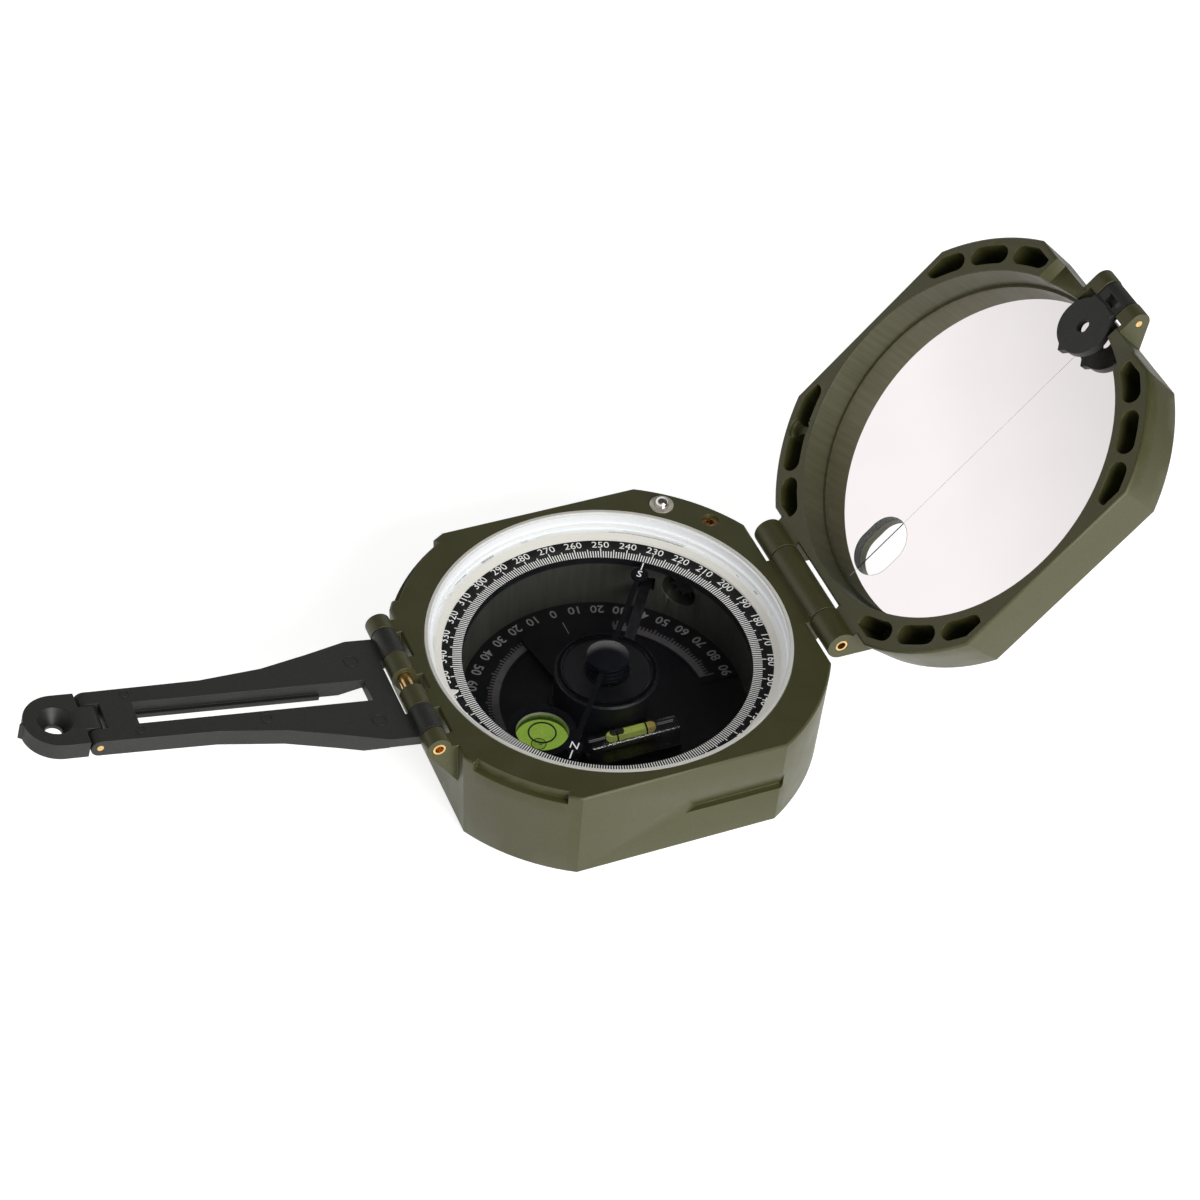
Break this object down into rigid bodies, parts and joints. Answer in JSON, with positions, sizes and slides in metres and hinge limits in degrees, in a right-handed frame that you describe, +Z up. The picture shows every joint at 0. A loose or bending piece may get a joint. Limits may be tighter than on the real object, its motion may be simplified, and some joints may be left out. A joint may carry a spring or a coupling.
{
  "type": "mirror compass with sighting arm",
  "caption": "Hand-held mirror compass with a folding slotted sighting arm, hinged mirror lid with window, turning degree ring, clinometer and round and tube levels under glass.",
  "frame": {"origin": "centre of the case's bottom face", "axes": "+X from the sighting arm's hinge to the lid's hinge, +Z up through the dial"},
  "size_m": [0.212, 0.073, 0.0782],
  "materials": {
    "olive_case": "matte",
    "black_plastic": "matte",
    "dial_black": "satin",
    "needle_black": "gloss",
    "scale_grey": "matte",
    "white_ring": "satin",
    "brass": "satin",
    "steel": "satin",
    "dial_glass": "gloss",
    "clear_acrylic": "gloss",
    "level_fluid": "gloss",
    "bubble": "gloss",
    "mirror": "polished",
    "ring_black": "matte",
    "jewel": "gloss"
  },
  "bodies": {
    "case": {"case": "olive_case", "index_ring": "white_ring", "retaining_ring": "steel", "dial_glass": "dial_glass", "glass_gasket": "white_ring", "clinometer_scale": "scale_grey", "clinometer_bearing": "brass", "button_bush": "steel", "pinion_bush": "brass", "set_screw": "brass", "arm_hinge_pin": "brass", "lid_hinge_pin": "brass", "lifter_pin": "steel", "lock_spring": "steel"},
    "degree_ring": {"degree_ring": "dial_black"},
    "pinion": {"circle_pinion": "brass", "pinion_head": "brass"},
    "lock_button": {"lock_button": "steel"},
    "lifter": {"lifter_lever": "steel"},
    "clinometer": {"vernier_plate": "dial_black", "clinometer_shaft": "steel", "damping_drum": "dial_black", "pivot_post": "steel", "clinometer_lever": "steel", "lever_screw": "steel", "wave_washer": "steel", "tube_level_body": "clear_acrylic", "tube_level_vial": "clear_acrylic", "tube_level_fluid": "level_fluid", "tube_level_bubble": "bubble", "round_level_cup": "black_plastic", "round_level_lens": "clear_acrylic", "round_level_fluid": "level_fluid", "round_level_bubble": "bubble"},
    "needle": {"needle_bar": "needle_black", "needle_hub": "black_plastic", "needle_magnet": "steel", "needle_cap": "needle_black", "needle_jewel": "jewel"},
    "lid": {"lid": "olive_case", "mirror": "mirror", "mirror_ring": "ring_black", "mirror_pad": "ring_black", "lid_peep_pin": "brass"},
    "lid_peep": {"lid_peep": "black_plastic"},
    "arm": {"arm": "black_plastic", "arm_peep_pin": "brass"},
    "arm_peep": {"arm_peep": "black_plastic"}
  },
  "joints": [
    {"name": "lid_hinge", "type": "hinge", "parent": "case", "child": "lid", "pos_m": [0.0401, 0, 0.021], "axis": [0, -1, 0], "range_deg": [-47, 133]},
    {"name": "lid_peep_hinge", "type": "hinge", "parent": "lid", "child": "lid_peep", "pos_m": [0.09818, 0, 0.07595], "axis": [0, -1, 0], "range_deg": [-170, 10.5]},
    {"name": "arm_hinge", "type": "hinge", "parent": "case", "child": "arm", "pos_m": [-0.0399, 0, 0.021], "axis": [0, 1, 0], "range_deg": [-11.5, 168.5]},
    {"name": "arm_peep_hinge", "type": "hinge", "parent": "arm", "child": "arm_peep", "pos_m": [-0.09849, 0, 0.03098], "axis": [0, -1, 0], "range_deg": [-90, 0]},
    {"name": "needle_spin", "type": "hinge", "parent": "clinometer", "child": "needle", "pos_m": [0, 0, 0.01535], "axis": [0, 0, 1], "continuous": true},
    {"name": "clinometer_turn", "type": "hinge", "parent": "case", "child": "clinometer", "pos_m": [0, 0, 0.003], "axis": [0, 0, 1], "range_deg": [-90, 90]},
    {"name": "degree_ring_turn", "type": "hinge", "parent": "case", "child": "degree_ring", "pos_m": [0, 0, 0.0142], "axis": [0, 0, 1], "continuous": true},
    {"name": "pinion_turn", "type": "hinge", "parent": "case", "child": "pinion", "pos_m": [0.02428, 0.0183, 0.01042], "axis": [0.7986, 0.6018, 0], "continuous": true},
    {"name": "button_press", "type": "slide", "parent": "case", "child": "lock_button", "axis": [0, 0, 1], "range_m": [-0.0017, 0], "stiffness_N_per_m": 150, "springref_m": 0.001, "deforming": ["lock_spring"]},
    {"name": "lifter_rock", "type": "hinge", "parent": "case", "child": "lifter", "pos_m": [0.01868, 0.02349, 0.0094], "axis": [-0.8221, 0.5693, 0], "range_deg": [0, 2.3]}
  ],
  "couplings": [
    {"joint": "pinion_turn", "follows": "degree_ring_turn", "ratio": -12},
    {"joint": "lifter_rock", "follows": "button_press", "rad_per_m": -22.6}
  ]
}
